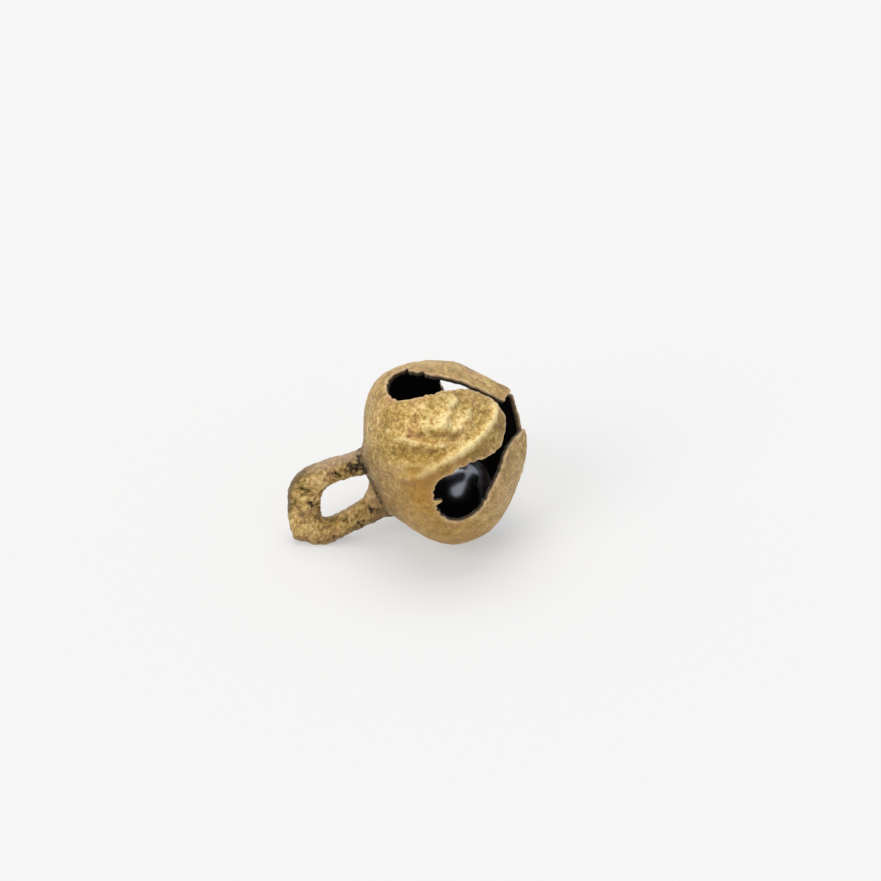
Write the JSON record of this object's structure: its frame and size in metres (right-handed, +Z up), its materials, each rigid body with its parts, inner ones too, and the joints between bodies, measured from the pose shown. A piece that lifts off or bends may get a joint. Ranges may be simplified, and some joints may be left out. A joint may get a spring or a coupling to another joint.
{
  "type": "ankle bell",
  "caption": "Small cast brass ghungroo: a round hollow bell with teardrop slots between petals, a hanging loop on its crown and a loose steel pellet that rattles inside.",
  "frame": {"origin": "middle of the underside of the bell's box, on the table that it lies on", "axes": "+Z up from the table, +X from the hanging loop towards the mouth, -Y towards the side that the picture looks at"},
  "size_m": [0.0226, 0.018, 0.0173],
  "materials": {
    "shell_brass": "old cast brass, dull golden brown, worn bright on the high places",
    "loop_brass": "pitted cast brass, grey brown",
    "pellet_steel": "smooth dark steel ball"
  },
  "bodies": {
    "bell": {"crown": "shell_brass", "petal_upper_front": "shell_brass", "petal_upper_rear": "shell_brass", "petal_lower_front": "shell_brass", "petal_lower_rear": "shell_brass", "hanging_loop": "loop_brass"},
    "pellet": {"pellet": "pellet_steel"}
  },
  "joints": [
    {"name": "pellet_rattle", "type": "slide", "parent": "bell", "child": "pellet", "axis": [-0.4265, 0, 0.9045], "range_m": [0, 0.0092]}
  ]
}
